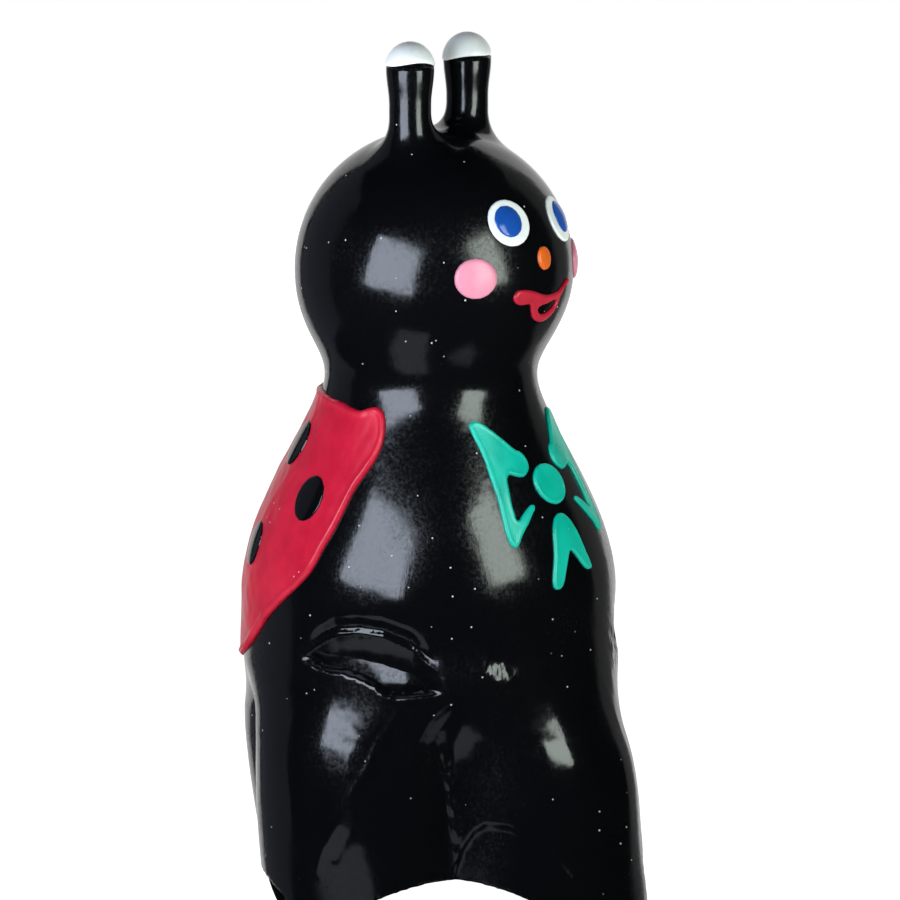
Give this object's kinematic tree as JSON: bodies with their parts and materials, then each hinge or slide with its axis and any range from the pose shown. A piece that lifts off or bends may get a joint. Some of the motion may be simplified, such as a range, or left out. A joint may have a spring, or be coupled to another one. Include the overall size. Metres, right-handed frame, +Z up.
{
  "type": "ladybird figure",
  "caption": "Small hollow ladybird figure with two stub antennae, painted face, bow tie and spotted wing cases, standing on short feet.",
  "frame": {"origin": "middle of the bottom of the figure's box, on the surface it stands on", "axes": "+Z up; the figure looks along -Y, so its right side is at -X"},
  "size_m": [0.0514, 0.055, 0.1082],
  "materials": {
    "black_rubber": "glossy dip-moulded natural rubber",
    "white_paint": "thick satin enamel paint",
    "blue_paint": "thick gloss enamel paint",
    "pink_paint": "thick satin enamel paint",
    "orange_paint": "thick satin enamel paint",
    "lip_red_paint": "thick satin enamel paint",
    "green_paint": "thick satin enamel paint",
    "wing_red_paint": "thick satin enamel paint",
    "black_paint": "thick gloss enamel paint"
  },
  "bodies": {
    "root": {"body_skin": "black_rubber", "antenna_tip_right": "white_paint", "antenna_tip_left": "white_paint", "eye_white_right": "white_paint", "eye_white_left": "white_paint", "iris_right": "blue_paint", "iris_left": "blue_paint", "cheek_right": "pink_paint", "cheek_left": "pink_paint", "nose": "orange_paint", "lips": "lip_red_paint", "bow_loop_right": "green_paint", "bow_loop_left": "green_paint", "bow_knot": "green_paint", "bow_tails": "green_paint", "wing_right": "wing_red_paint", "wing_left": "wing_red_paint", "wing_spot_upper_right": "black_paint", "wing_spot_upper_left": "black_paint", "wing_spot_middle_right": "black_paint", "wing_spot_middle_left": "black_paint", "wing_spot_lower_right": "black_paint", "wing_spot_lower_left": "black_paint"}
  },
  "joints": []
}
